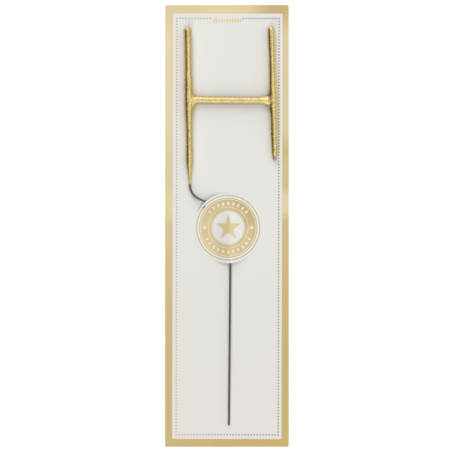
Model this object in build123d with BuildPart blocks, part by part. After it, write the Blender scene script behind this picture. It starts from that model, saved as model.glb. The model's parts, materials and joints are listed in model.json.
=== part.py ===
"""A letter H sparkler fixed to its backing card by a round foil seal, in millimetres.

The card lies flat on its back. X runs across it, Y up towards the top of the letter, and Z out of
its printed face. The origin is the middle of the card's underside.

The sparkler is bent and welded in one plane. It touches the card at the tip of its handle and under
the thickest part of its dipped stems, so its plane leans back from the card by the angle between the
two. Across and along are places in that plane, seen square on to the card.
"""

from build123d import *
import os
from math import asin, atan, atan2, cos, degrees, hypot, pi, radians, sin, tan

# Backing card and the foil border stamped on it
card_width = 70.0
card_length = 250.0
card_thickness = 0.8
card_corner = 0.4
border_side = 4.05
border_end = 4.65
panel_shift_across = 0.25
panel_shift_along = -0.2
panel_skew_degrees = -0.14
foil_gauge = 0.05

# Steel wires
wire_gauge = 1.2
lie_gap = 0.1
tip_across = 1.15
tip_along = -112.7
seal_bend_across = 2.2
seal_bend_along = 7.8
seal_bend_radius = 8.0
foot_to_corner = 6.1
bend_lead = 0.2
weld_sink = 0.15

# Stems and crossbar of the letter
left_top_across = -22.15
left_top_along = 112.4
left_foot_across = -20.95
left_foot_along = 23.5
right_top_across = 24.95
right_top_along = 112.5
right_foot_across = 27.1
right_foot_along = 37.1
bar_left_along = 71.1
bar_right_along = 70.7

# Dipped coat and the lacquer over it
coat_radius = 2.2
lacquer = 0.12
coat_film = 0.05
wire_cover = 2.0
coat_blend = 2.8
chip_across = 25.4
chip_along = 51.9
chip_radius = 0.45

# Round seal, with radii as the flat label is cut
seal_across = 0.8
seal_along = -1.2
seal_radius = 20.0
adhesive_gauge = 0.05
paper_gauge = 0.15
wire_to_label = 0.1
star_radius = 7.5
teeth_radius = 9.7
tooth_depth = 0.5
ring_radius = 11.65
ring_gap = 0.25
band_radius = 16.05
small_star_radius = 1.35
lozenge_height = 2.7
lozenge_width = 1.5
inner_line_radius = 16.8
outer_line_radius = 18.4
line_width = 0.42

# Counts and shares
star_tip_count = 5
tooth_count = 56
top_figure_count = 9
bottom_figure_count = 11
figure_pitch_degrees = 12.5
star_notch_share = 0.382
drape_across_share = 0.968
drape_along_share = 0.993
drape_reach_share = 0.9
drape_wall_share = 0.97

# Each pair is a share of the barrel between the round ends, from the top, and one of coat_radius
left_stem_shares = (
    (0.0, 1.0),
    (0.18, 1.0),
    (0.27, 1.02),
    (0.33, 1.14),
    (0.38, 1.18),
    (0.50, 1.18),
    (0.56, 1.08),
    (0.61, 0.94),
    (0.71, 0.90),
    (0.79, 0.94),
    (0.86, 0.94),
    (0.907, 0.66),
    (0.95, 0.40),
)
right_stem_shares = (
    (0.0, 0.97),
    (0.06, 0.95),
    (0.15, 0.89),
    (0.23, 0.87),
    (0.31, 0.92),
    (0.39, 0.99),
    (0.47, 1.10),
    (0.54, 1.14),
    (0.60, 1.05),
    (0.66, 0.96),
    (0.75, 0.94),
    (0.84, 0.94),
    (0.92, 0.86),
    (0.97, 0.72),
    (1.0, 0.55),
)
bar_shares = (
    (0.0, 0.95),
    (0.10, 0.96),
    (0.30, 0.98),
    (0.60, 0.97),
    (0.90, 0.96),
    (1.0, 0.95),
)

wire_radius = wire_gauge / 2
card_top = card_thickness
figure_radius = (ring_radius + band_radius) / 2


def distance(start, end):
    """Length of the straight line between two places."""
    return hypot(end[0] - start[0], end[1] - start[1])


def on_line(start, end, share):
    """The place a share of the way from start to end."""
    return tuple(a + (b - a) * share for a, b in zip(start, end))


left_top = (left_top_across, left_top_along)
left_foot = (left_foot_across, left_foot_along)
right_top = (right_top_across, right_top_along)
right_foot = (right_foot_across, right_foot_along)
left_length = distance(left_top, left_foot)
right_length = distance(right_top, right_foot)
first_corner = on_line(left_top, left_foot, 1 + foot_to_corner / left_length)
seal_corner = (seal_bend_across, seal_bend_along)
handle_tip = (tip_across, tip_along)


def at_height(start, end, along):
    """The place on the line from start to end that lies at the given height."""
    return on_line(start, end, (along - start[1]) / (end[1] - start[1]))


bar_left = at_height(left_top, left_foot, bar_left_along)
bar_right = at_height(right_top, right_foot, bar_right_along)
bar_length = distance(bar_left, bar_right)
bar_stop = (wire_radius - weld_sink) / bar_length


def swellings(length, shares, round_foot):
    """How far down a stem each swelling of its coat is, with the coat's radius there."""
    top_dome = shares[0][1] * coat_radius
    foot_dome = shares[-1][1] * coat_radius if round_foot else 0
    barrel = length - top_dome - foot_dome
    return [(top_dome + share * barrel, swell * coat_radius) for share, swell in shares]


# The lean that rests the fattest place of the stems and the handle's tip on the card
rests = [
    (on_line(top, foot, place / length)[1], radius + lacquer)
    for top, foot, length, shares, round_foot in (
        (left_top, left_foot, left_length, left_stem_shares, False),
        (right_top, right_foot, right_length, right_stem_shares, True),
    )
    for place, radius in swellings(length, shares, round_foot)
]
lean_slope = max((radius - wire_radius) / (along - tip_along) for along, radius in rests)
lean = atan(lean_slope)


def axis_height(along):
    """Height of the wire's axis over the card at a place along it."""
    return wire_radius + lie_gap + (along - tip_along) * lean_slope


sparkler_plane = Plane(
    origin=(0, 0, card_top + axis_height(0)),
    x_dir=(1, 0, 0),
    z_dir=(0, -sin(lean), cos(lean)),
)


def in_sparkler(place):
    """A place of the sparkler's plane as a point of the whole part."""
    return sparkler_plane.from_local_coords(Vector(*place, 0))


def stem_plane(start, end):
    """Plane at start with Y running to end and X towards the card."""
    along = (in_sparkler(end) - in_sparkler(start)).normalized()
    return Plane(
        origin=in_sparkler(start),
        x_dir=-sparkler_plane.z_dir,
        z_dir=along.cross(sparkler_plane.z_dir),
    )


def section_plane(start, end):
    """Plane at start with Z running to end, X towards the card and Y to the side."""
    along = (in_sparkler(end) - in_sparkler(start)).normalized()
    return Plane(origin=in_sparkler(start), x_dir=-sparkler_plane.z_dir, z_dir=along)


def turn_between(before, corner, after):
    """Angle in radians by which a run turns at its corner."""
    first = Vector(corner[0] - before[0], corner[1] - before[1])
    second = Vector(after[0] - corner[0], after[1] - corner[1])
    return radians(first.get_angle(second))


first_turn = turn_between(left_top, first_corner, seal_corner)
first_bend_radius = (foot_to_corner - bend_lead) / tan(first_turn / 2)


def rod(start, end, radius):
    """Straight round rod between two places of the sparkler's plane."""
    with BuildPart() as bar:
        with BuildSketch(section_plane(start, end)):
            Circle(radius)
        extrude(amount=(in_sparkler(end) - in_sparkler(start)).length)
    return bar.part


def bent_handle(radius):
    """The left stem's core, its two bends and the handle, as one round rod."""
    core_top = on_line(left_top, left_foot, wire_cover / left_length)
    with BuildPart() as bent:
        with BuildLine(sparkler_plane):
            FilletPolyline(
                core_top,
                first_corner,
                seal_corner,
                handle_tip,
                radius=[first_bend_radius, seal_bend_radius],
            )
        with BuildSketch(section_plane(core_top, first_corner)):
            Circle(radius)
        sweep()
    return bent.part


def dipped_stem(start, end, shares, round_foot, skin):
    """Swelling coat of one stem, round at its top, and at its foot round or open about the wire."""
    plane = stem_plane(start, end)
    length = distance(start, end)
    places = swellings(length, shares, round_foot)
    swells = [(radius + skin, place) for place, radius in places]
    if not round_foot:
        swells.append((wire_radius + coat_film + skin, length))
    first, last = swells[0], swells[-1]
    along = Vector(0, 1)
    with BuildPart() as coat:
        with BuildSketch(plane):
            with BuildLine():
                CenterArc((0, first[1]), first[0], -90, 90)
                Spline(*swells, tangents=(along, along))
                if round_foot:
                    CenterArc((0, last[1]), last[0], 0, 90)
                    Line((0, last[1] + last[0]), (0, -skin))
                else:
                    Polyline(last, (0, last[1]), (0, -skin))
            make_face()
        revolve(axis=Axis(plane.origin, plane.y_dir))
    return coat.part


def dipped_bar(skin):
    """Coat of the crossbar, from one stem's axis to the other's."""
    plane = stem_plane(bar_left, bar_right)
    swells = [(swell * coat_radius + skin, share * bar_length) for share, swell in bar_shares]
    with BuildPart() as coat:
        with BuildSketch(plane):
            with BuildLine():
                Spline(*swells)
                Polyline(swells[-1], (0, bar_length), (0, 0), swells[0])
            make_face()
        revolve(axis=Axis(plane.origin, plane.y_dir))
    return coat.part


def dipped_letter(skin):
    """The whole letter as dipped, swollen by a skin and blended where the crossbar joins."""
    left = dipped_stem(left_top, left_foot, left_stem_shares, False, skin)
    right = dipped_stem(right_top, right_foot, right_stem_shares, True, skin)
    bar = dipped_bar(skin)
    with BuildPart() as letter:
        add(left)
        add(right)
        add(bar)
        joins = letter.edges(Select.NEW)
        fillet(joins, radius=coat_blend - skin)
    return letter.part


def gable(lift):
    """Section of the space under a skin of the label where it climbs over the wire."""
    high = axis_height(first_corner[1])
    reach = drape_reach_share * seal_bend_radius
    clear = wire_radius + wire_to_label
    flank = atan2(high, reach) + asin(clear / hypot(high, reach))
    over = clear + lift
    crest = (-over * cos(flank), over * sin(flank))
    wall = drape_wall_share * seal_bend_radius
    shoulder = wall * tan(flank) - over / cos(flank)
    floor = high + 2 * card_thickness
    with BuildSketch(mode=Mode.PRIVATE) as section:
        with BuildLine():
            ThreePointArc((crest[0], -crest[1]), (-over, 0), crest)
            Polyline(crest, (shoulder, wall), (floor, wall), (floor, -wall))
            Polyline((floor, -wall), (shoulder, -wall), (crest[0], -crest[1]))
        make_face()
    return section.sketch


def under_label(lift):
    """All that lies under a skin of the draped label, reaching past its rim."""
    with BuildPart() as under:
        with BuildSketch():
            with Locations((seal_across, seal_along)):
                Rectangle(3 * seal_radius, 3 * seal_radius)
        extrude(amount=card_top + lift)
        with BuildLine(sparkler_plane):
            FilletPolyline(first_corner, seal_corner, handle_tip, radius=seal_bend_radius)
        with BuildSketch(section_plane(first_corner, seal_corner)):
            add(gable(lift))
        sweep()
    return under.part


def draped(radius, turn_degrees):
    """A place of the seal's artwork, drawn in as the label is by climbing over the wire."""
    turn = radians(turn_degrees)
    return (
        seal_across + radius * drape_across_share * cos(turn),
        seal_along + radius * drape_along_share * sin(turn),
    )


def oval(radius, mode=Mode.ADD):
    """A circle of the seal as it lies once draped."""
    with Locations((seal_across, seal_along)):
        Ellipse(radius * drape_across_share, radius * drape_along_share, mode=mode)


def star(centre, radius, mode=Mode.ADD):
    """Star of the seal as it lies once draped, with one tip up."""
    reaches = [radius, radius * star_notch_share] * star_tip_count
    turns = [pi / 2 + pi * step / star_tip_count for step in range(2 * star_tip_count)]
    points = [
        (
            centre[0] + reach * drape_across_share * cos(turn),
            centre[1] + reach * drape_along_share * sin(turn),
        )
        for reach, turn in zip(reaches, turns)
    ]
    Polygon(*points, align=None, mode=mode)


def lozenge(turn_degrees):
    """One diamond cut out of the band, pointing at the seal's middle."""
    side = degrees(lozenge_width / 2 / figure_radius)
    Polygon(
        draped(figure_radius + lozenge_height / 2, turn_degrees),
        draped(figure_radius, turn_degrees + side),
        draped(figure_radius - lozenge_height / 2, turn_degrees),
        draped(figure_radius, turn_degrees - side),
        align=None,
        mode=Mode.SUBTRACT,
    )


skin_heights = [
    0,
    adhesive_gauge,
    adhesive_gauge + paper_gauge,
    adhesive_gauge + paper_gauge + foil_gauge,
]
under_skins = [under_label(height) for height in skin_heights]


def label_skin(layer, artwork):
    """One layer of the draped label, cut to a flat artwork."""
    with BuildPart() as skin:
        add(under_skins[layer + 1])
        add(under_skins[layer], mode=Mode.SUBTRACT)
        with BuildSketch(Plane.XY.offset(card_top)):
            add(artwork)
        extrude(amount=seal_radius, mode=Mode.INTERSECT)
    return skin.part


with BuildPart() as backing_card:
    with BuildSketch():
        RectangleRounded(card_width, card_length, card_corner)
    extrude(amount=card_thickness)
backing_card.part.label = "backing_card"

with BuildPart() as card_foil_border:
    with BuildSketch(Plane.XY.offset(card_top)):
        RectangleRounded(card_width, card_length, card_corner)
        with Locations((panel_shift_across, panel_shift_along)):
            Rectangle(
                card_width - 2 * border_side,
                card_length - 2 * border_end,
                rotation=panel_skew_degrees,
                mode=Mode.SUBTRACT,
            )
    extrude(amount=foil_gauge)
card_foil_border.part.label = "card_foil_border"

with BuildPart() as handle_wire:
    add(bent_handle(wire_radius))
handle_wire.part.label = "handle_wire"

with BuildPart() as right_stem_wire:
    add(
        rod(
            on_line(right_top, right_foot, wire_cover / right_length),
            on_line(right_top, right_foot, 1 - wire_cover / right_length),
            wire_radius,
        )
    )
right_stem_wire.part.label = "right_stem_wire"

with BuildPart() as crossbar_wire:
    add(
        rod(
            on_line(bar_left, bar_right, bar_stop),
            on_line(bar_left, bar_right, 1 - bar_stop),
            wire_radius,
        )
    )
    add(handle_wire.part, mode=Mode.SUBTRACT)
    add(right_stem_wire.part, mode=Mode.SUBTRACT)
crossbar_wire.part.label = "crossbar_wire"

with BuildPart() as spark_mix:
    add(dipped_letter(0))
    for core in (handle_wire, right_stem_wire, crossbar_wire):
        add(core.part, mode=Mode.SUBTRACT)
spark_mix.part.label = "spark_mix"

with BuildPart() as gold_lacquer:
    add(dipped_letter(lacquer))
    add(dipped_letter(0), mode=Mode.SUBTRACT)
    with BuildSketch(sparkler_plane):
        with Locations((chip_across, chip_along)):
            Circle(chip_radius)
    extrude(amount=2 * coat_radius, mode=Mode.SUBTRACT)
gold_lacquer.part.label = "gold_lacquer"

with BuildSketch() as rim_art:
    oval(seal_radius)

with BuildPart() as label_adhesive:
    add(label_skin(0, rim_art.sketch))
label_adhesive.part.label = "label_adhesive"

with BuildPart() as label_paper:
    add(label_skin(1, rim_art.sketch))
label_paper.part.label = "label_paper"

with BuildSketch() as star_art:
    star((seal_across, seal_along), star_radius)

with BuildPart() as label_foil_star:
    add(label_skin(2, star_art.sketch))
label_foil_star.part.label = "label_foil_star"

with BuildSketch() as toothed_art:
    oval(ring_radius - ring_gap / 2)
    tooth_turns = [180 * step / tooth_count for step in range(2 * tooth_count)]
    tooth_reaches = [teeth_radius, teeth_radius - tooth_depth] * tooth_count
    Polygon(
        *[draped(reach, turn) for reach, turn in zip(tooth_reaches, tooth_turns)],
        align=None,
        mode=Mode.SUBTRACT,
    )

with BuildPart() as label_foil_toothed_ring:
    add(label_skin(2, toothed_art.sketch))
label_foil_toothed_ring.part.label = "label_foil_toothed_ring"

with BuildSketch() as band_art:
    oval(band_radius)
    oval(ring_radius + ring_gap / 2, mode=Mode.SUBTRACT)
    for side_degrees in (0, 180):
        star(draped(figure_radius, side_degrees), small_star_radius, mode=Mode.SUBTRACT)
    for count, middle_degrees in ((top_figure_count, 90), (bottom_figure_count, 270)):
        for step in range(count):
            lozenge(middle_degrees + (step - (count - 1) / 2) * figure_pitch_degrees)

with BuildPart() as label_foil_band:
    add(label_skin(2, band_art.sketch))
label_foil_band.part.label = "label_foil_band"

with BuildSketch() as lines_art:
    for radius in (outer_line_radius, inner_line_radius):
        oval(radius + line_width / 2)
        oval(radius - line_width / 2, mode=Mode.SUBTRACT)

with BuildPart() as label_foil_lines:
    add(label_skin(2, lines_art.sketch))
label_foil_lines.part.label = "label_foil_lines"

os.makedirs("parts", exist_ok=True)
for piece in (
    backing_card,
    card_foil_border,
    handle_wire,
    right_stem_wire,
    crossbar_wire,
    spark_mix,
    gold_lacquer,
    label_adhesive,
    label_paper,
    label_foil_star,
    label_foil_toothed_ring,
    label_foil_band,
    label_foil_lines,
):
    export_step(piece.part, f"parts/{piece.part.label}.step")
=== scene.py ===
"""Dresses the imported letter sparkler: gilt coat, bent wire, draped foil seal and printed card."""

import json
import math

import bpy
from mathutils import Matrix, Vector, kdtree, noise

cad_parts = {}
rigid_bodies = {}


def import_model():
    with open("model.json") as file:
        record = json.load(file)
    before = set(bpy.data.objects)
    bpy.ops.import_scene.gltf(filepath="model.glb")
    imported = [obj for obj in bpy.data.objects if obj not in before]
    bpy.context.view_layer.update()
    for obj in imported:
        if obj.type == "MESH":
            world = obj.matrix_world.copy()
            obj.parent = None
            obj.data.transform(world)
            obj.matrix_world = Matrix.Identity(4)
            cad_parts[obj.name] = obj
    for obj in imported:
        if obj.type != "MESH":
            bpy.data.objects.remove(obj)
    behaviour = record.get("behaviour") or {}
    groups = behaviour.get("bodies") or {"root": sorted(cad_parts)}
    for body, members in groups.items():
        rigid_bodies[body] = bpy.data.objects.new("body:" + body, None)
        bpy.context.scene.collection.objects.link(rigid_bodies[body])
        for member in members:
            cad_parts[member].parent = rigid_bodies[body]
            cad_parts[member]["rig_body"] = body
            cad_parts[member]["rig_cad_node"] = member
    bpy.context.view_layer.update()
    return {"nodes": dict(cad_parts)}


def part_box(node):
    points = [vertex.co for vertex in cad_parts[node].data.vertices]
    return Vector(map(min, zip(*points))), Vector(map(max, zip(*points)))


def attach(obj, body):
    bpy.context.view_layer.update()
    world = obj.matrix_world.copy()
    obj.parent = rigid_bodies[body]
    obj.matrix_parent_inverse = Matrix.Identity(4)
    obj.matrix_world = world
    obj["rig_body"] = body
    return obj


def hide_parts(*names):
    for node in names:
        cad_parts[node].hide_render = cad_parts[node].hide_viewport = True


mm = 0.001

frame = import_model()
nodes = frame["nodes"]
card_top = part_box("backing_card")[1].z
coat_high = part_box("gold_lacquer")[1]
wire_low, wire_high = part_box("handle_wire")

# Run of the handle wire in plan, as straight lines before it is bent, and the crop at its tip
wire_radius = 0.6 * mm
core_top = Vector((-22.12, 110.4)) * mm
first_corner = Vector((-20.87, 17.4)) * mm
seal_corner = Vector((2.2, 7.8)) * mm
handle_tip = Vector((1.15, -112.7)) * mm
first_bend_radius = 8.98 * mm
seal_bend_radius = 8.0 * mm
bend_steps = 14
crop_length = 0.25 * mm
crop_share = 0.72
wire_slope = (wire_high.z - wire_low.z - 2 * wire_radius) / (wire_high.y - wire_low.y)

# Gilt coat: its grit, the chip on its right leg, its worn right foot, the painted shade along the
# middle of the bar and the joins at the bar
grit_cell = 0.22 * mm
lump_size = 1.1 * mm
lump_height = 0.12 * mm
lump_middle_share = 0.55
chip_place = Vector((25.4, 51.9)) * mm
chip_radius = 0.65 * mm
chip_depth = 0.5 * mm
chip_floor = 3.0 * mm
right_foot = Vector((27.1, 37.1)) * mm
bar_middle = Vector((2.2, 70.9)) * mm
bar_painted_shade_share = 0.32
bar_joins = (Vector((-19.4, 71.1)) * mm, Vector((23.8, 70.7)) * mm)
joins_reach = 3.5 * mm
joins_swell = 0.2 * mm
joins_smoothing = 120
corner_fills = (
    (Vector((-19.1, 73.6)) * mm, 1.7 * mm),
    (Vector((-19.0, 68.4)) * mm, 2.0 * mm),
    (Vector((23.5, 73.2)) * mm, 1.5 * mm),
    (Vector((23.6, 68.4)) * mm, 1.8 * mm),
    (Vector((-20.1, 76.3)) * mm, 1.5 * mm),
    (Vector((-19.8, 65.8)) * mm, 1.75 * mm),
    (Vector((-20.3, 63.3)) * mm, 1.5 * mm),
    (Vector((25.3, 65.6)) * mm, 1.75 * mm),
    (Vector((25.8, 63.0)) * mm, 1.5 * mm),
    (Vector((-21.4, 71.1)) * mm, 2.5 * mm),
    (Vector((25.85, 70.7)) * mm, 2.5 * mm),
)

# Round seal: its middle, its radii as cut flat, and how the wire draws it in
seal_middle = Vector((0.8, -1.2)) * mm
art_shift = Vector((-0.05, 0.2)) * mm
seal_radius = 20.0 * mm
seal_across_share = 0.968
seal_along_share = 0.993
glue_gauge = 0.05 * mm
paper_gauge = 0.15 * mm
foil_gauge = 0.05 * mm
printed = (glue_gauge + paper_gauge, art_shift)
star_radius = 7.8 * mm
star_points = 5
star_notch_share = 0.382
teeth_radius = 10.35 * mm
tooth_depth = 1.5 * mm
tooth_count = 56
ring_radius = 11.65 * mm
ring_gap = 0.3 * mm
band_radius = 16.05 * mm
figure_radius = 13.85 * mm
figure_pitch = math.radians(12.5)
top_figure_count = 9
bottom_figure_count = 11
lozenge_height = 2.7 * mm
lozenge_width = 1.5 * mm
small_star_radius = 1.55 * mm
inner_line_radius = 16.75 * mm
outer_line_radius = 18.4 * mm
line_width = 0.55 * mm
tent_reach = 7.2 * mm
tent_rounding = 0.9 * mm
tent_foot = 0.6 * mm
wire_clearance = 0.1 * mm
ripple_height = 0.012 * mm
ripple_reach = 4.5 * mm
drape_cell = 0.5 * mm
drape_offset_share = 0.37
# Places of the painted crease shadow near the seal's rim, where the wire comes in.
seal_crease_shadows = (Vector((-13.3, 10.3)) * mm, Vector((-12.6, 11.0)) * mm)

# Dotted line printed round the card's panel, and the ornament at its top
dots_middle = Vector((0.4, -0.4)) * mm
dots_width = 57.8 * mm
dots_length = 235.55 * mm
dots_skew = math.radians(-0.13)
dots_across = 34
dots_along = 137
dot_radius = 0.47 * mm
dot_sides = 10
dot_easing_share = 0.3
ink_gauge = 0.03 * mm
ornament_middle = Vector((0.15, 116.1)) * mm
ornament_height = 3.4 * mm
ornament_pitch = 1.52 * mm
ornament_count = 11
ornament_reach = ornament_count * ornament_pitch / 2
ornament_clearance = 0.6 * mm
large_width_share = 1.05
small_width_share = 0.92
small_height_share = 0.75

# Soft painted reflection patches on the card's foil, some lighter and some darker: place in plan,
# radius, fade and screen colour
painted_foil_reflections = (
    (Vector((29, 124)) * mm, 3 * mm, 14 * mm, (203, 180, 129)),
    (Vector((-24, 124)) * mm, 8 * mm, 12 * mm, (230, 212, 169)),
    (Vector((33, 81)) * mm, 26 * mm, 8 * mm, (222, 207, 168)),
    (Vector((33, 42)) * mm, 2 * mm, 7 * mm, (207, 191, 134)),
    (Vector((33, 12.5)) * mm, 4 * mm, 6 * mm, (230, 214, 177)),
    (Vector((-33, 12.5)) * mm, 4 * mm, 8 * mm, (238, 221, 172)),
)

# Studio
sweep_width = 6.0
sweep_drop = 0.05 * mm
camera_place = (-0.51 * mm, -0.06 * mm, 1.4206 + card_top)
camera_lens = 200


def wire_height(along):
    """Height of the wire's axis at a place up the card."""
    return wire_low.z + wire_radius + (along - wire_low.y) * wire_slope


def on_axis(place):
    """A place in plan lifted to the wire's axis."""
    return Vector((place.x, place.y, wire_height(place.y)))


def bend_places(before, corner, after, radius):
    """Places round one bend of the wire, from straight to straight."""
    back = (before - corner).normalized()
    ahead = (after - corner).normalized()
    half = back.angle(ahead) / 2
    reach = radius / math.tan(half)
    middle = corner + (back + ahead).normalized() * radius / math.sin(half)
    first = corner + back * reach - middle
    last = corner + ahead * reach - middle
    spokes = [first.lerp(last, step / bend_steps) for step in range(bend_steps + 1)]
    return [middle + spoke.normalized() * radius for spoke in spokes]


def wire_run():
    """Places along the whole wire in plan, from inside the stem to the handle's tip."""
    return [
        core_top,
        *bend_places(core_top, first_corner, seal_corner, first_bend_radius),
        *bend_places(first_corner, seal_corner, handle_tip, seal_bend_radius),
        handle_tip,
    ]


def places_under_seal():
    """A search tree of places along the wire, close enough together to measure from."""
    run = wire_run()
    spacing = 0.2 * mm
    stations = []
    for start, end in zip(run, run[1:]):
        count = max(1, round((end - start).length / spacing))
        stations += [start.lerp(end, step / count) for step in range(count)]
    tree = kdtree.KDTree(len(stations))
    for index, station in enumerate(stations):
        tree.insert(station.to_3d(), index)
    tree.balance()
    return tree


under_seal = places_under_seal()


def drape_height(x, y):
    """How far the seal is lifted off the card at a place by the wire beneath it."""
    nearest, _, away = under_seal.find((x, y, 0))
    crest = wire_height(nearest.y) + wire_radius + wire_clearance - card_top
    rise = crest - crest / tent_reach * (math.hypot(away, tent_rounding) - tent_rounding)
    lift = (rise + math.hypot(rise, tent_foot)) / 2
    ripple = ripple_height * (1 + noise.noise(Vector((x, y, 0)) / ripple_reach))
    return lift + ripple


# Modelling helpers


def begin(adder, **size):
    """Adds a primitive with nothing else selected, and opens it for shaping."""
    bpy.ops.object.select_all(action="DESELECT")
    adder(**size)
    bpy.ops.object.mode_set(mode="EDIT")
    bpy.ops.mesh.select_mode(type="VERT")


def close(name):
    """Ends the shaping of the active piece and names it."""
    bpy.ops.object.mode_set(mode="OBJECT")
    piece = bpy.context.active_object
    bpy.ops.object.transform_apply(location=True, rotation=True, scale=True)
    piece.name = name
    piece.data.name = name
    return piece


def pick(piece, rule):
    """Selects the vertices of a piece in edit mode whose places keep the rule."""
    bpy.ops.mesh.select_all(action="DESELECT")
    bpy.ops.object.mode_set(mode="OBJECT")
    for vertex in piece.data.vertices:
        vertex.select = rule(vertex)
    bpy.ops.object.mode_set(mode="EDIT")


def pick_faces(piece, rule):
    """Selects the faces of a piece in edit mode that keep the rule."""
    bpy.ops.mesh.select_mode(type="FACE")
    bpy.ops.mesh.select_all(action="DESELECT")
    bpy.ops.object.mode_set(mode="OBJECT")
    for face in piece.data.polygons:
        face.select = rule(face)
    bpy.ops.object.mode_set(mode="EDIT")


def only(*pieces):
    """Selects these pieces alone, with the first one active."""
    bpy.ops.object.select_all(action="DESELECT")
    for piece in pieces:
        piece.select_set(True)
    bpy.context.view_layer.objects.active = pieces[0]


def joined(name, *pieces):
    """Several pieces made one."""
    only(*pieces)
    if len(pieces) > 1:
        bpy.ops.object.join()
    piece = bpy.context.active_object
    piece.name = name
    piece.data.name = name
    return piece


def modify(piece, kind, **settings):
    """Puts one modifier on a piece and applies it."""
    only(piece)
    modifier = piece.modifiers.new(kind.lower(), kind)
    for setting, value in settings.items():
        setattr(modifier, setting, value)
    bpy.ops.object.modifier_apply(modifier=modifier.name)


def thicken(gauge):
    """Extrudes the flat faces being shaped upwards into a closed sheet."""
    bpy.ops.mesh.select_all(action="SELECT")
    bpy.ops.mesh.extrude_region_move(TRANSFORM_OT_translate={"value": (0, 0, gauge)})
    bpy.ops.mesh.select_all(action="SELECT")
    bpy.ops.mesh.normals_make_consistent(inside=False)


def flat_disc(name, radius, gauge, sides=160):
    """Round sheet cut flat at the origin."""
    begin(bpy.ops.mesh.primitive_circle_add, vertices=sides, radius=radius, fill_type="NGON")
    thicken(gauge)
    return close(name)


def flat_ring(name, outer, inner, gauge, sides=160):
    """Ring cut flat at the origin."""
    begin(bpy.ops.mesh.primitive_circle_add, vertices=sides, radius=outer, fill_type="NGON")
    bpy.ops.mesh.inset(thickness=(outer - inner) * math.cos(math.pi / sides))
    bpy.ops.mesh.delete(type="FACE")
    thicken(gauge)
    return close(name)


def flat_star(name, radius, gauge):
    """Five-pointed star cut flat at the origin, with one tip up."""
    corners = 2 * star_points
    begin(bpy.ops.mesh.primitive_circle_add, vertices=corners, radius=radius, fill_type="NGON")
    piece = bpy.context.active_object
    pick(piece, lambda vertex: vertex.index % 2 == 1)
    notch = (star_notch_share, star_notch_share, 1)
    bpy.ops.transform.resize(value=notch, center_override=(0, 0, 0))
    thicken(gauge)
    return close(name)


def flat_lozenge(name, height, width, gauge):
    """Diamond cut flat at the origin."""
    begin(bpy.ops.mesh.primitive_circle_add, vertices=4, radius=height / 2, fill_type="NGON")
    bpy.ops.transform.resize(value=(width / height, 1, 1), center_override=(0, 0, 0))
    thicken(gauge)
    return close(name)


def copy_at(piece, place, turn=0.0, drop=0.0):
    """A copy of a flat piece, with its own mesh, turned and moved to a place."""
    only(piece)
    bpy.ops.object.duplicate(linked=False)
    twin = bpy.context.active_object
    twin.rotation_euler.z = turn
    twin.location = (place.x, place.y, drop)
    bpy.ops.object.transform_apply(location=True, rotation=True, scale=True)
    return twin


def on_circle(radius, turn):
    """A place on a circle about the origin, with its turn measured from the right."""
    return Vector((radius * math.cos(turn), radius * math.sin(turn)))


def draped(piece, base, shift=Vector((0, 0))):
    """Lays a flat sheet of the seal over the card and the wire, a base height up."""
    for vertex in piece.data.vertices:
        vertex.co.x = seal_middle.x + shift.x + vertex.co.x * seal_across_share
        vertex.co.y = seal_middle.y + shift.y + vertex.co.y * seal_along_share
    only(piece)
    bpy.ops.object.mode_set(mode="EDIT")
    for axis in (0, 1):
        reach = max(abs(vertex.co[axis] - seal_middle[axis]) for vertex in piece.data.vertices)
        cuts = int(reach / drape_cell)
        normal = (1, 0, 0) if axis == 0 else (0, 1, 0)
        for cut in range(-cuts, cuts + 1):
            bpy.ops.mesh.select_all(action="SELECT")
            offset = (cut + drape_offset_share) * drape_cell
            place = (seal_middle.x + normal[0] * offset, seal_middle.y + normal[1] * offset, 0)
            bpy.ops.mesh.bisect(plane_co=place, plane_no=normal)
    bpy.ops.object.mode_set(mode="OBJECT")
    for vertex in piece.data.vertices:
        vertex.co.z += card_top + base + drape_height(vertex.co.x, vertex.co.y)
    bpy.ops.object.shade_smooth_by_angle(angle=math.radians(40))
    return piece


def dress(piece, body, slot, finish, *stands_for):
    """Gives a finished piece its body, its finish and the nodes it stands for; the slot is not
    used.
    """
    piece.data.materials.clear()
    piece.data.materials.append(finish)
    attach(piece, body)
    if stands_for:
        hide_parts(*stands_for)
    return piece


# Finish helpers


def tint(red, green, blue):
    """A colour given as it shows on a screen, from 0 to 255, as light values."""
    parts = []
    for part in (red, green, blue):
        part /= 255
        parts.append(part / 12.92 if part <= 0.04045 else ((part + 0.055) / 1.055) ** 2.4)
    return (*parts, 1)


def new_finish(name, roughness, metallic=0.0):
    """A finish with its surface shader, ready for detail."""
    finish = bpy.data.materials.new(name)
    finish.use_nodes = True
    shader = finish.node_tree.nodes["Principled BSDF"]
    shader.inputs["Roughness"].default_value = roughness
    shader.inputs["Metallic"].default_value = metallic
    return finish, finish.node_tree, shader


def places(tree, stretch=(1, 1, 1)):
    """Object coordinates, stretched along the axes."""
    coordinates = tree.nodes.new("ShaderNodeTexCoord")
    mapping = tree.nodes.new("ShaderNodeMapping")
    mapping.inputs["Scale"].default_value = stretch
    tree.links.new(coordinates.outputs["Object"], mapping.inputs["Vector"])
    return mapping.outputs["Vector"]


def speckle(tree, size, detail=2.0, stretch=(1, 1, 1)):
    """Soft noise whose blotches are about a size across."""
    texture = tree.nodes.new("ShaderNodeTexNoise")
    texture.inputs["Scale"].default_value = 1 / size
    texture.inputs["Detail"].default_value = detail
    tree.links.new(places(tree, stretch), texture.inputs["Vector"])
    return texture.outputs["Fac"]


def grains(tree, size, output="Color"):
    """Grains about a size across, each with its own value."""
    texture = tree.nodes.new("ShaderNodeTexVoronoi")
    texture.inputs["Scale"].default_value = 1 / size
    tree.links.new(places(tree), texture.inputs["Vector"])
    return texture.outputs[output]


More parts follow.
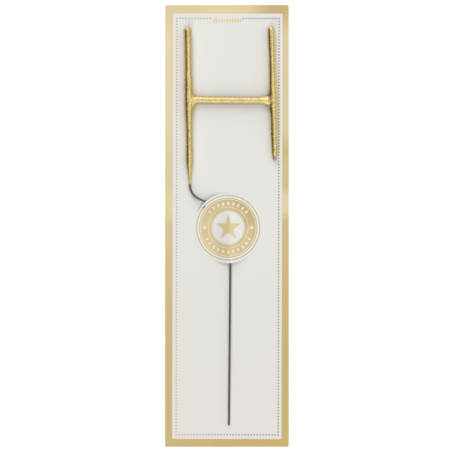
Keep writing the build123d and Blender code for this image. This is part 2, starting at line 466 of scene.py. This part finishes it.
def ramp(tree, value, *stops):
    """Colours along a value, as pairs of a place and a colour."""
    node = tree.nodes.new("ShaderNodeValToRGB")
    stop_list = node.color_ramp.elements
    while len(stop_list) < len(stops):
        stop_list.new(0.5)
    for stop, (place, colour) in zip(stop_list, stops):
        stop.position = place
        stop.color = colour
    tree.links.new(value, node.inputs["Fac"])
    return node.outputs["Color"]


def spread(tree, value, low, high, start=0.0, end=1.0):
    """A value stretched from one range to another."""
    node = tree.nodes.new("ShaderNodeMapRange")
    node.inputs["From Min"].default_value = start
    node.inputs["From Max"].default_value = end
    node.inputs["To Min"].default_value = low
    node.inputs["To Max"].default_value = high
    tree.links.new(value, node.inputs["Value"])
    return node.outputs["Result"]


def blended(tree, share, first, second):
    """Two colours mixed by a share, through the mix node's sockets for colours."""
    node = tree.nodes.new("ShaderNodeMix")
    node.data_type = "RGBA"
    for socket, value in ((0, share), (6, first), (7, second)):
        if hasattr(value, "is_linked"):
            tree.links.new(value, node.inputs[socket])
        else:
            node.inputs[socket].default_value = value
    return node.outputs[2]


def summed(tree, first, second, share):
    """One value with a share of another added."""
    node = tree.nodes.new("ShaderNodeMath")
    node.operation = "MULTIPLY_ADD"
    node.inputs[1].default_value = share
    tree.links.new(second, node.inputs[0])
    tree.links.new(first, node.inputs[2])
    return node.outputs["Value"]


def relief(tree, shader, height, depth, strength=1.0):
    """Fine relief of a depth, from a height value."""
    node = tree.nodes.new("ShaderNodeBump")
    node.inputs["Distance"].default_value = depth
    node.inputs["Strength"].default_value = strength
    tree.links.new(height, node.inputs["Height"])
    tree.links.new(node.outputs["Normal"], shader.inputs["Normal"])


def near(tree, place, radius, fade):
    """One inside a radius of a place in plan, falling to nothing over the fade."""
    node = tree.nodes.new("ShaderNodeVectorMath")
    node.operation = "DISTANCE"
    node.inputs[1].default_value = (place.x, place.y, 0)
    tree.links.new(places(tree, (1, 1, 0)), node.inputs[0])
    return spread(tree, node.outputs["Value"], 1, 0, radius, radius + fade)


def crease_shadowed(tree, colour):
    """A colour of the seal with the dark painted shadow of a small crease where the wire comes in
    under its rim.
    """
    for place in seal_crease_shadows:
        crease_shadow = near(tree, place, 0.25 * mm, 0.3 * mm)
        colour = blended(tree, crease_shadow, colour, tint(44, 36, 28))
    return colour


# Finishes


def printed_board():
    """Coated white board, with painted shading that makes it a little darker and warmer down the
    card, and a fibrous cut edge.
    """
    finish, tree, shader = new_finish("printed_board", 0.62)
    heights = tree.nodes.new("ShaderNodeSeparateXYZ")
    tree.links.new(places(tree), heights.inputs["Vector"])
    # Painted shading: the board's face turns a little darker and warmer down the card.
    rise = spread(tree, heights.outputs["Y"], 0, 1, -90 * mm, 20 * mm)
    face = ramp(
        tree,
        summed(tree, rise, speckle(tree, 9 * mm, 3), 0.15),
        (0.0, tint(242, 237, 233)),
        (1.0, tint(241, 241, 237)),
    )
    edge = ramp(
        tree,
        speckle(tree, 0.5 * mm, 3, (1, 1, 6)),
        (0.3, tint(196, 190, 178)),
        (0.7, tint(226, 221, 210)),
    )
    geometry = tree.nodes.new("ShaderNodeNewGeometry")
    split = tree.nodes.new("ShaderNodeSeparateXYZ")
    tree.links.new(geometry.outputs["Normal"], split.inputs["Vector"])
    size = tree.nodes.new("ShaderNodeMath")
    size.operation = "ABSOLUTE"
    tree.links.new(split.outputs["Z"], size.inputs[0])
    tree.links.new(blended(tree, size.outputs["Value"], edge, face), shader.inputs["Base Color"])
    relief(tree, shader, speckle(tree, 0.25 * mm, 4), 0.02 * mm, 0.5)
    return finish


def stamped_foil():
    """Hot-stamped gold foil of the card, with painted reflection: paler up the card and to the
    left, with a few soft painted reflection patches.
    """
    finish, tree, shader = new_finish("stamped_foil", 0.42, 0.75)
    split = tree.nodes.new("ShaderNodeSeparateXYZ")
    tree.links.new(places(tree), split.inputs["Vector"])
    # Painted reflection: the foil is paler up the card and to the left.
    rise = spread(tree, split.outputs["Y"], 0.05, 0.8, -110 * mm, 60 * mm)
    turn = spread(tree, split.outputs["X"], 0.17, -0.17, -35 * mm, 35 * mm)
    tone_and_painted_light = summed(tree, rise, turn, 1.0)
    gold = ramp(
        tree,
        tone_and_painted_light,
        (0.0, tint(205, 180, 120)),
        (0.5, tint(216, 195, 144)),
        (1.0, tint(241, 225, 184)),
    )
    # Soft painted reflection patches, lighter and darker, laid over the foil.
    for place, radius, fade, colour in painted_foil_reflections:
        gold = blended(tree, near(tree, place, radius, fade), gold, tint(*colour))
    tree.links.new(gold, shader.inputs["Base Color"])
    tree.links.new(
        spread(tree, speckle(tree, 2.5 * mm, 4), 0.37, 0.49),
        shader.inputs["Roughness"],
    )
    height = summed(tree, speckle(tree, 0.6 * mm, 3), speckle(tree, 6 * mm), 3.0)
    relief(tree, shader, height, 0.02 * mm, 0.35)
    return finish


def seal_foil():
    """Satin gold of the seal, printed rather than stamped, duller on its thin lines, with painted
    shading: lighter to the left and low down, with a lighter painted star.
    """
    finish, tree, shader = new_finish("seal_foil", 0.6, 0.2)
    split = tree.nodes.new("ShaderNodeSeparateXYZ")
    tree.links.new(places(tree), split.inputs["Vector"])
    # Painted shading: the seal's gold is lighter to the left and towards the bottom, and darker to
    # the right and top.
    turn = spread(tree, split.outputs["X"], 0.3, -0.3, -16 * mm, 16 * mm)
    rise = spread(tree, split.outputs["Y"], 0.15, -0.35, -16 * mm, 16 * mm)
    tone_and_painted_light = summed(tree, summed(tree, speckle(tree, 9 * mm, 3), turn, 1.0), rise, 1.0)
    gold = ramp(
        tree,
        tone_and_painted_light,
        (0.0, tint(206, 184, 132)),
        (0.5, tint(224, 206, 156)),
        (1.0, tint(236, 219, 172)),
    )
    # Painted light: the star is made lighter to offset the shade on the flanks of the drape.
    star = near(tree, seal_middle, 7.0 * mm, 1.5 * mm)
    face = blended(tree, star, gold, tint(234, 216, 163))
    inside = near(tree, seal_middle + art_shift, band_radius + 0.05 * mm, 0.3 * mm)
    worked = blended(tree, inside, tint(202, 188, 152), face)
    # The gold carries the painted crease shadow near the rim.
    tree.links.new(crease_shadowed(tree, worked), shader.inputs["Base Color"])
    tree.links.new(
        spread(tree, speckle(tree, 1.2 * mm, 3), 0.54, 0.66),
        shader.inputs["Roughness"],
    )
    relief(tree, shader, speckle(tree, 0.5 * mm, 3), 0.01 * mm, 0.4)
    return finish


def gilt_grain():
    """Gold lacquer over the gritty composition, with painted shade darkening the middle of the bar,
    greyer at the right foot, and a chip painted near black, partly painted shade in its pit.
    """
    finish, tree, shader = new_finish("gilt_grain", 0.34, 1.0)
    gold = ramp(
        tree,
        grains(tree, 0.4 * mm),
        (0.05, tint(198, 168, 92)),
        (0.3, tint(216, 190, 114)),
        (0.7, tint(226, 202, 132)),
        (0.95, tint(240, 224, 168)),
    )
    # Painted shade: the coat darkens towards the middle of the bar.
    bar_painted_shade = spread(tree, near(tree, bar_middle, 16 * mm, 5 * mm), 0, bar_painted_shade_share)
    gold = blended(tree, bar_painted_shade, gold, tint(130, 122, 82))
    worn = blended(tree, near(tree, right_foot, 0.8 * mm, 2.0 * mm), gold, tint(160, 156, 140))
    # The chip is painted near black: the bare composition, darkened further by painted shade in its
    # pit.
    chip_and_pit_shade = blended(tree, near(tree, chip_place, 0.35 * mm, 0.4 * mm), worn, tint(24, 20, 14))
    tree.links.new(chip_and_pit_shade, shader.inputs["Base Color"])
    tree.links.new(
        spread(tree, grains(tree, 0.4 * mm), 0.24, 0.4),
        shader.inputs["Roughness"],
    )
    shader.inputs["Coat Weight"].default_value = 1.0
    shader.inputs["Coat IOR"].default_value = 1.6
    shader.inputs["Coat Roughness"].default_value = 0.3
    grit = summed(tree, grains(tree, 0.6 * mm, "Distance"), grains(tree, 0.3 * mm, "Distance"), 0.5)
    height = summed(tree, grit, speckle(tree, 0.5 * mm, 4), 0.6)
    relief(tree, shader, height, 0.09 * mm, 1.0)
    return finish


def grey_composition():
    """The dipped mix itself: dark grey, dry and gritty."""
    finish, tree, shader = new_finish("grey_composition", 0.9)
    tree.links.new(
        ramp(
            tree,
            grains(tree, 0.25 * mm),
            (0.2, tint(58, 54, 46)),
            (0.8, tint(96, 90, 78)),
        ),
        shader.inputs["Base Color"],
    )
    relief(tree, shader, speckle(tree, 0.3 * mm, 4), 0.1 * mm)
    return finish


def drawn_steel():
    """Dark oiled steel wire, with fine lines along it from the die."""
    finish, tree, shader = new_finish("drawn_steel", 0.42, 0.9)
    lines = speckle(tree, 0.12 * mm, 3, (1, 0.03, 1))
    tree.links.new(
        ramp(tree, lines, (0.25, tint(84, 80, 74)), (0.75, tint(128, 124, 116))),
        shader.inputs["Base Color"],
    )
    tree.links.new(spread(tree, lines, 0.34, 0.5), shader.inputs["Roughness"])
    relief(tree, shader, lines, 0.015 * mm, 0.5)
    return finish


def clear_glue():
    """Thin film of label glue, pale and glossy at the rim."""
    finish, tree, shader = new_finish("clear_glue", 0.25)
    tree.links.new(
        ramp(
            tree,
            speckle(tree, 1.5 * mm, 2),
            (0.3, tint(226, 222, 206)),
            (0.7, tint(236, 233, 222)),
        ),
        shader.inputs["Base Color"],
    )
    relief(tree, shader, speckle(tree, 0.8 * mm, 2), 0.01 * mm)
    return finish


def label_stock():
    """Smooth white label paper with a faint tooth, cream between its white middle and rim."""
    finish, tree, shader = new_finish("label_stock", 0.48)
    white = ramp(
        tree,
        speckle(tree, 5 * mm, 3),
        (0.3, tint(240, 238, 235)),
        (0.7, tint(244, 243, 240)),
    )
    cream = blended(tree, near(tree, seal_middle, 16.9 * mm, 0.8 * mm), white, tint(252, 243, 224))
    face = blended(tree, near(tree, seal_middle, 9.0 * mm, 1.5 * mm), cream, white)
    # The paper carries the painted crease shadow near the rim.
    tree.links.new(crease_shadowed(tree, face), shader.inputs["Base Color"])
    relief(tree, shader, speckle(tree, 0.18 * mm, 3), 0.01 * mm, 0.5)
    return finish


def dot_foil():
    """Darker foil of the fine dots, where the die bit deep."""
    finish, tree, shader = new_finish("dot_foil", 0.5, 0.35)
    split = tree.nodes.new("ShaderNodeSeparateXYZ")
    tree.links.new(places(tree), split.inputs["Vector"])
    turn = spread(tree, split.outputs["X"], 0, 1, -30 * mm, 30 * mm)
    tree.links.new(
        ramp(
            tree,
            summed(tree, turn, speckle(tree, 1.1 * mm, 2), 0.3),
            (0.15, tint(204, 190, 158)),
            (1.0, tint(158, 150, 126)),
        ),
        shader.inputs["Base Color"],
    )
    relief(tree, shader, speckle(tree, 0.2 * mm, 2), 0.01 * mm)
    return finish


def studio_sweep():
    """Plain white sweep that the card lies on."""
    finish, _, shader = new_finish("studio_sweep", 0.9)
    shader.inputs["Base Color"].default_value = tint(250, 250, 250)
    shader.inputs["Emission Color"].default_value = (1, 1, 1, 1)
    shader.inputs["Emission Strength"].default_value = 0.35
    return finish


# Pieces


def corner_fill(place, radius):
    """A drop of composition that fills out one place where the bar meets a stem."""
    bar_low, bar_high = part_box("crossbar_wire")
    begin(
        bpy.ops.mesh.primitive_uv_sphere_add,
        segments=24,
        ring_count=12,
        radius=radius,
        location=(place.x, place.y, (bar_low.z + bar_high.z) / 2),
    )
    return close("corner_fill")


def gilt_coat():
    """The dipped letter with its gilt skin, gritty all over and chipped on the right leg."""
    only(nodes["gold_lacquer"], nodes["spark_mix"])
    bpy.ops.object.duplicate(linked=False)
    copies = list(bpy.context.selected_objects)
    for twin in copies:
        twin.parent = None
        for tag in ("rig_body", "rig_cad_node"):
            if tag in twin:
                del twin[tag]
    fills = [corner_fill(place, radius) for place, radius in corner_fills]
    piece = joined("gilt_coat", *copies, *fills)
    bpy.ops.object.mode_set(mode="EDIT")
    bpy.ops.mesh.select_all(action="SELECT")
    bpy.ops.mesh.remove_doubles(threshold=0.002 * mm)
    bpy.ops.object.mode_set(mode="OBJECT")
    modify(piece, "REMESH", mode="VOXEL", voxel_size=grit_cell)
    modify(piece, "SMOOTH", factor=0.5, iterations=3)
    joins = piece.vertex_groups.new(name="joins")
    for vertex in piece.data.vertices:
        away = min((vertex.co.to_2d() - join).length for join in bar_joins)
        share = max(0.0, min(1.0, 2.0 - away / joins_reach))
        joins.add([vertex.index], share, "REPLACE")
    modify(piece, "SMOOTH", factor=0.5, iterations=joins_smoothing, vertex_group="joins")
    modify(piece, "DISPLACE", strength=joins_swell, mid_level=0, vertex_group="joins")
    lumps = bpy.data.textures.new("coat_lumps", "CLOUDS")
    lumps.noise_scale = lump_size
    lumps.noise_depth = 2
    modify(
        piece,
        "DISPLACE",
        texture=lumps,
        texture_coords="LOCAL",
        strength=lump_height,
        mid_level=lump_middle_share,
    )
    for vertex in piece.data.vertices:
        away = (vertex.co.to_2d() - chip_place).length / chip_radius
        if away < 1 and vertex.co.z > card_top + chip_floor:
            vertex.co.z -= chip_depth * (1 - away**2)
        vertex.co.z = min(vertex.co.z, coat_high.z)
    only(piece)
    bpy.ops.object.shade_smooth()
    return piece


def handle_steel():
    """The wire that is the left stem's core and the handle, bent twice and cropped at its tip."""
    run = [on_axis(place) for place in wire_run()]
    bpy.ops.object.select_all(action="DESELECT")
    bpy.ops.curve.primitive_nurbs_path_add()
    curve = bpy.context.active_object
    curve.data.splines.clear()
    crop = (run[-1] - run[-2]).normalized() * crop_length
    run = [*run[:-1], run[-1] - crop, run[-1]]
    spline = curve.data.splines.new("POLY")
    spline.points.add(len(run) - 1)
    for point, place in zip(spline.points, run):
        point.co = (*place, 1)
    spline.points[-1].radius = crop_share
    curve.data.dimensions = "3D"
    curve.data.bevel_depth = wire_radius
    curve.data.bevel_resolution = 7
    curve.data.use_fill_caps = True
    only(curve)
    bpy.ops.object.convert(target="MESH")
    piece = joined("handle_steel", curve)
    bpy.ops.object.mode_set(mode="EDIT")
    bpy.ops.mesh.select_all(action="SELECT")
    bpy.ops.mesh.remove_doubles(threshold=0.001 * mm)
    bpy.ops.mesh.normals_make_consistent(inside=False)
    bpy.ops.object.mode_set(mode="OBJECT")
    bpy.ops.object.shade_smooth_by_angle(angle=math.radians(40))
    return piece


def seal_glue():
    """Glue film under the seal."""
    return draped(flat_disc("seal_glue", seal_radius - 0.05 * mm, glue_gauge), 0)


def seal_paper():
    """Paper of the seal."""
    return draped(flat_disc("seal_paper", seal_radius, paper_gauge), glue_gauge)


def seal_star():
    """Star in the seal's white middle."""
    return draped(flat_star("seal_star", star_radius, foil_gauge), *printed)


def seal_toothed_ring():
    """Foil ring with fine teeth round its inner edge."""
    sides = 2 * tooth_count
    outer = ring_radius - ring_gap / 2
    begin(bpy.ops.mesh.primitive_circle_add, vertices=sides, radius=outer, fill_type="NGON")
    piece = bpy.context.active_object
    bpy.ops.mesh.inset(thickness=(outer - teeth_radius) * math.cos(math.pi / sides))
    bpy.ops.mesh.delete(type="FACE")
    inside = (outer + teeth_radius) / 2

    def is_tooth_tip(vertex):
        turn = math.atan2(vertex.co.y, vertex.co.x) / math.tau * sides
        return vertex.co.length < inside and round(turn) % 2 == 1

    pick(piece, is_tooth_tip)
    tip = (teeth_radius - tooth_depth) / teeth_radius
    bpy.ops.transform.resize(value=(tip, tip, 1), center_override=(0, 0, 0))
    thicken(foil_gauge)
    return draped(close("seal_toothed_ring"), *printed)


def seal_band():
    """Broad foil band, with its lozenges and two small stars left bare."""
    band = flat_ring("seal_band", band_radius, ring_radius + ring_gap / 2, foil_gauge)
    lozenge = flat_lozenge("lozenge_cutter", lozenge_height, lozenge_width, 3 * foil_gauge)
    star = flat_star("star_cutter", small_star_radius, 3 * foil_gauge)
    cutters = [
        copy_at(star, on_circle(figure_radius, turn), 0, -foil_gauge) for turn in (0, math.pi)
    ]
    for count, middle in ((top_figure_count, math.pi / 2), (bottom_figure_count, -math.pi / 2)):
        for step in range(count):
            turn = middle + (step - (count - 1) / 2) * figure_pitch
            place = on_circle(figure_radius, turn)
            cutters.append(copy_at(lozenge, place, turn - math.pi / 2, -foil_gauge))
    cutter = joined("band_cutter", *cutters)
    modify(band, "BOOLEAN", object=cutter, operation="DIFFERENCE", solver="EXACT")
    for spare in (cutter, lozenge, star):
        bpy.data.objects.remove(spare)
    return draped(band, *printed)


def seal_lines():
    """Two thin foil lines near the seal's rim."""
    half = line_width / 2
    rings = [
        flat_ring("seal_line", radius + half, radius - half, foil_gauge)
        for radius in (outer_line_radius, inner_line_radius)
    ]
    return draped(joined("seal_lines", *rings), *printed)


def stamped_dot():
    """One dot of the dotted line, with its edge eased."""
    begin(
        bpy.ops.mesh.primitive_cylinder_add,
        vertices=dot_sides,
        radius=dot_radius,
        depth=ink_gauge,
        location=(0, 0, card_top + ink_gauge / 2),
    )
    piece = bpy.context.active_object
    pick_faces(piece, lambda face: face.normal.z > 0.9)
    bpy.ops.mesh.inset(thickness=dot_easing_share * dot_radius)
    bpy.ops.transform.translate(value=(0, 0, dot_easing_share * ink_gauge))
    return close("stamped_dot")


def dot_row(dot, start, step, count):
    """A straight row of dots from a start, a step apart."""
    row = copy_at(dot, start)
    modify(
        row,
        "ARRAY",
        count=count,
        use_relative_offset=False,
        use_constant_offset=True,
        constant_offset_displace=(step.x, step.y, 0),
    )
    return row


def panel_dots():
    """Dotted line round the panel, broken at its top for the ornament."""
    dot = stamped_dot()
    across = Vector((math.cos(dots_skew), math.sin(dots_skew))) * dots_width / dots_across
    along = Vector((-math.sin(dots_skew), math.cos(dots_skew))) * dots_length / dots_along
    corner = dots_middle - across * dots_across / 2 - along * dots_along / 2
    top = corner + along * dots_along
    reach = ornament_reach + ornament_clearance
    gap = [
        step
        for step in range(dots_across + 1)
        if abs((top + across * step).x - ornament_middle.x) < reach
    ]
    rows = [
        dot_row(dot, corner, along, dots_along + 1),
        dot_row(dot, corner + across * dots_across, along, dots_along + 1),
        dot_row(dot, corner + across, across, dots_across - 1),
        dot_row(dot, top + across, across, gap[0] - 1),
        dot_row(dot, top + across * (gap[-1] + 1), across, dots_across - gap[-1] - 1),
    ]
    bpy.data.objects.remove(dot)
    piece = joined("panel_dots", *rows)
    bpy.ops.object.shade_smooth_by_angle(angle=math.radians(50))
    return piece


def top_ornament():
    """Plain row of lozenges stamped where the dotted line breaks."""
    large_width = large_width_share * ornament_pitch
    small_width = small_width_share * ornament_pitch
    small_height = small_height_share * ornament_height
    large = flat_lozenge("large_lozenge", ornament_height, large_width, ink_gauge)
    small = flat_lozenge("small_lozenge", small_height, small_width, ink_gauge)
    row = []
    side_count = ornament_count // 2
    for step in range(-side_count, side_count + 1):
        place = ornament_middle + Vector((step * ornament_pitch, 0))
        row.append(copy_at(small if step % 2 else large, place, 0, card_top))
    for spare in (large, small):
        bpy.data.objects.remove(spare)
    return joined("top_ornament", *row)


def white_sweep():
    """Floor of the studio, a hair below the card."""
    begin(bpy.ops.mesh.primitive_plane_add, size=sweep_width, location=(0, 0, -sweep_drop))
    bpy.ops.mesh.subdivide(number_cuts=3)
    floor = close("white_sweep")
    floor.data.materials.append(studio_sweep())


def softbox(name, place, width, height, power):
    """One softbox, aimed at the middle of the card."""
    bpy.ops.object.light_add(type="AREA", location=place)
    light = bpy.context.active_object
    light.name = name
    light.data.shape = "RECTANGLE"
    light.data.size = width
    light.data.size_y = height
    light.data.energy = power
    light.rotation_euler = (-light.location).to_track_quat("-Z", "Y").to_euler()


def soft_lights():
    """Tall key beyond the top of the card, a broad overhead and a tall fill from below."""
    softbox("key_softbox", (-0.22, 1.15, 0.92), 0.68, 1.5, 10.3)
    softbox("overhead_softbox", (0.5, 0.1, 1.4), 1.2, 1.2, 4.6)
    softbox("fill_softbox", (-0.25, -1.2, 1.15), 0.86, 1.9, 12.3)


def dim_room():
    """Room round the table, bright on the right and dim and brown on the left."""
    world = bpy.data.worlds.new("dim_room")
    bpy.context.scene.world = world
    world.use_nodes = True
    tree = world.node_tree
    coordinates = tree.nodes.new("ShaderNodeTexCoord")
    split = tree.nodes.new("ShaderNodeSeparateXYZ")
    tree.links.new(coordinates.outputs["Generated"], split.inputs["Vector"])
    tree.links.new(
        ramp(
            tree,
            spread(tree, split.outputs["X"], 0, 1, -1, 1),
            (0.05, (0.03, 0.02, 0.006, 1)),
            (0.4, (0.18, 0.17, 0.15, 1)),
            (0.65, (0.28, 0.28, 0.28, 1)),
            (0.95, (0.54, 0.55, 0.56, 1)),
        ),
        tree.nodes["Background"].inputs["Color"],
    )


def straight_down_camera():
    """Long lens looking straight down on the card."""
    bpy.ops.object.camera_add(location=camera_place)
    camera = bpy.context.active_object
    camera.data.lens = camera_lens
    camera.data.sensor_width = 36
    camera.data.clip_end = 20
    bpy.context.scene.camera = camera
    bpy.context.scene.view_settings.view_transform = "Standard"


seal_gold = seal_foil()
card_gold = stamped_foil()
steel = drawn_steel()
grey_mix = grey_composition()

for name, finish in (
    ("backing_card", printed_board()),
    ("card_foil_border", card_gold),
    ("right_stem_wire", steel),
    ("crossbar_wire", steel),
    ("spark_mix", grey_mix),
):
    nodes[name].data.materials.clear()
    nodes[name].data.materials.append(finish)

dress(gilt_coat(), "sparkler", "gold_lacquer", gilt_grain(), "gold_lacquer")
dress(handle_steel(), "sparkler", "steel_wire", steel, "handle_wire")
dress(seal_glue(), "label", "label_adhesive", clear_glue(), "label_adhesive")
dress(seal_paper(), "label", "label_paper", label_stock(), "label_paper")
dress(seal_star(), "label", "label_foil", seal_gold, "label_foil_star")
dress(seal_toothed_ring(), "label", "label_foil", seal_gold, "label_foil_toothed_ring")
dress(seal_band(), "label", "label_foil", seal_gold, "label_foil_band")
dress(seal_lines(), "label", "label_foil", seal_gold, "label_foil_lines")
dress(panel_dots(), "card", "card_foil", dot_foil())
dress(top_ornament(), "card", "card_foil", card_gold)

white_sweep()
soft_lights()
dim_room()
straight_down_camera()
